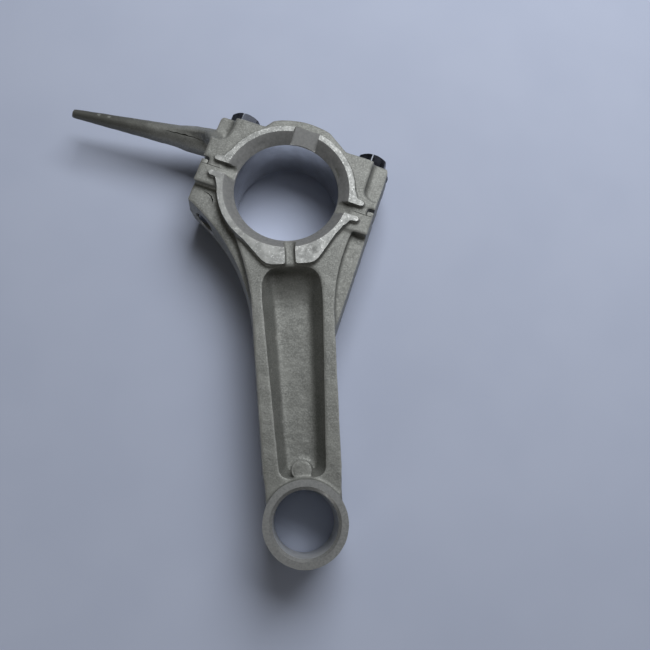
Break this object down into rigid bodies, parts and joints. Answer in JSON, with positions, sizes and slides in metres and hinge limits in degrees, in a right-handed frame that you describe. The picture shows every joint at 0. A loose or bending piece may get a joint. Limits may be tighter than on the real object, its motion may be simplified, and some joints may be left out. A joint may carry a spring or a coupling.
{
  "type": "connecting rod",
  "caption": "Cast connecting rod with a tilted bolted cap, an oil-dipper finger, plain bores at both ends and an I-section shank.",
  "frame": {"origin": "centre of the big-end bore at mid width", "axes": "+Z along both bores, +Y from the small end towards the big end, +X towards the lug without the dipper"},
  "size_m": [0.1153, 0.1641, 0.026],
  "materials": {
    "cast_alloy_rod": "grey die-cast skin with machined bright thrust lands and bores",
    "cast_alloy_cap": "grey die-cast skin, olive tone on the dipper, machined bright lands and bore",
    "black_bolt_steel": "blue-black oxide, light oil sheen"
  },
  "bodies": {
    "rod": {"rod_body": "cast_alloy_rod"},
    "cap": {"rod_cap": "cast_alloy_cap"},
    "left_bolt": {"cap_bolt_left": "black_bolt_steel"},
    "right_bolt": {"cap_bolt_right": "black_bolt_steel"}
  },
  "joints": [
    {"name": "cap_lift", "type": "slide", "parent": "rod", "child": "cap", "axis": [0.3746, 0.9272, 0], "range_m": [0, 0.04]},
    {"name": "left_bolt_draw", "type": "slide", "parent": "cap", "child": "left_bolt", "axis": [0.3746, 0.9272, 0], "range_m": [0, 0.037]},
    {"name": "right_bolt_draw", "type": "slide", "parent": "cap", "child": "right_bolt", "axis": [0.3746, 0.9272, 0], "range_m": [0, 0.037]}
  ]
}
